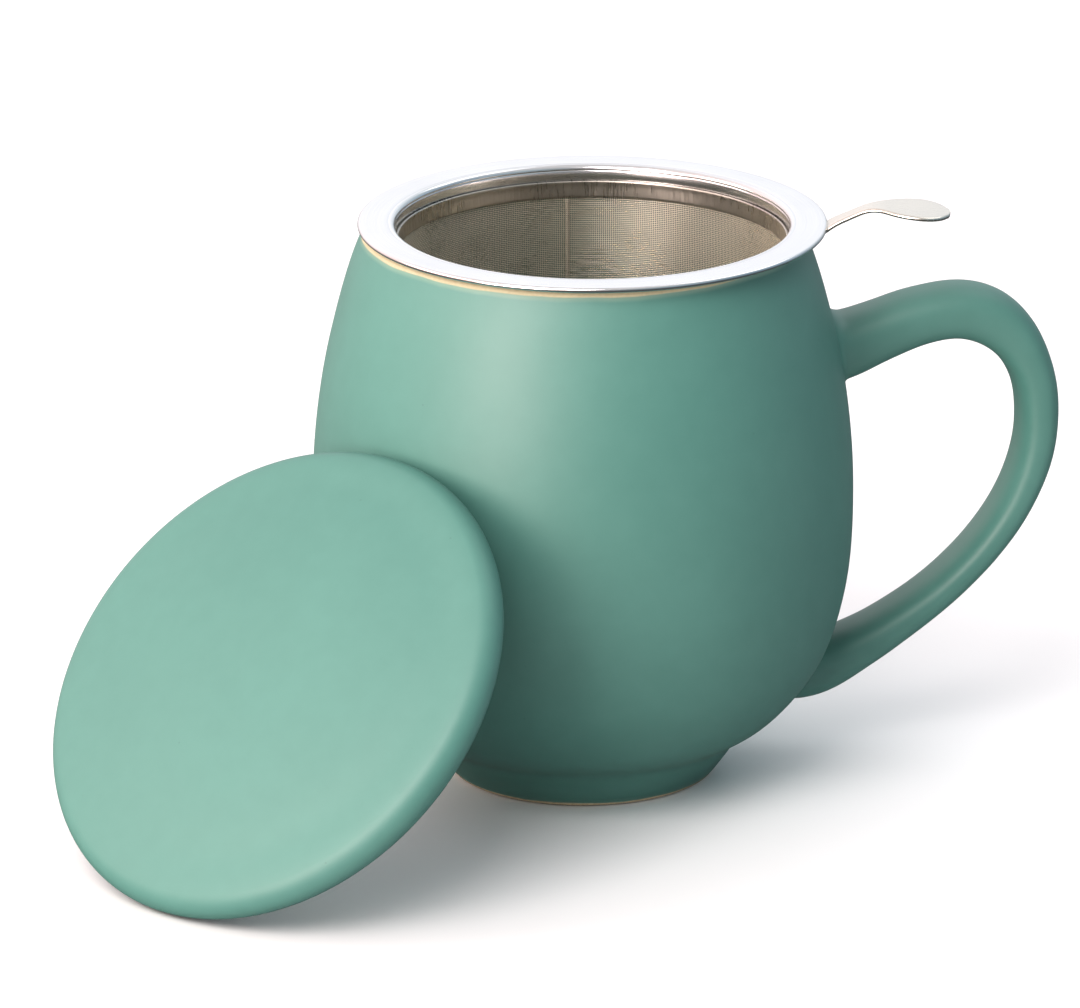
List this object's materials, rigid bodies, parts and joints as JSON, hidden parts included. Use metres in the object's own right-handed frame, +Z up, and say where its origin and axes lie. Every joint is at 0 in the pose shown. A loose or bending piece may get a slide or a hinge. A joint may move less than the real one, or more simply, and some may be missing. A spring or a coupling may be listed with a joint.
{
  "type": "tea mug with infuser and lid",
  "caption": "Wide stoneware tea mug with a large loop handle, a lift-out steel mesh infuser with a thumb tab, and a loose domed lid leaning on its side.",
  "frame": {"origin": "the mug's axis at the table surface", "axes": "+Z up along the mug's axis, +X from the axis out through the handle"},
  "size_m": [0.1806, 0.13, 0.1006],
  "materials": {
    "glaze_mug": "satin sage green glaze with a cream lip and a thin bare line at the foot",
    "glaze_handle": "satin sage green glaze",
    "glaze_lid": "satin sage green glaze, bare cream underside edge",
    "steel_rim": "polished stainless steel",
    "steel_band": "crimped stainless steel",
    "steel_mesh": "woven stainless wire cloth",
    "steel_tab": "satin stainless steel"
  },
  "bodies": {
    "mug": {"mug_body": "glaze_mug", "mug_handle": "glaze_handle"},
    "infuser": {"infuser_rim": "steel_rim", "infuser_clamp_band": "steel_band", "infuser_mesh_wall": "steel_mesh", "infuser_mesh_floor": "steel_mesh", "infuser_mesh_seam": "steel_mesh", "infuser_base_ring": "steel_band", "infuser_tab": "steel_tab"},
    "lid": {"lid": "glaze_lid"}
  },
  "joints": [
    {"name": "infuser_lift", "type": "slide", "parent": "mug", "child": "infuser", "axis": [0, 0, 1], "range_m": [0, 0.085]},
    {"name": "lid_lift", "type": "slide", "parent": "mug", "child": "lid", "axis": [0, 0, 1], "range_m": [0, 0.12]}
  ]
}
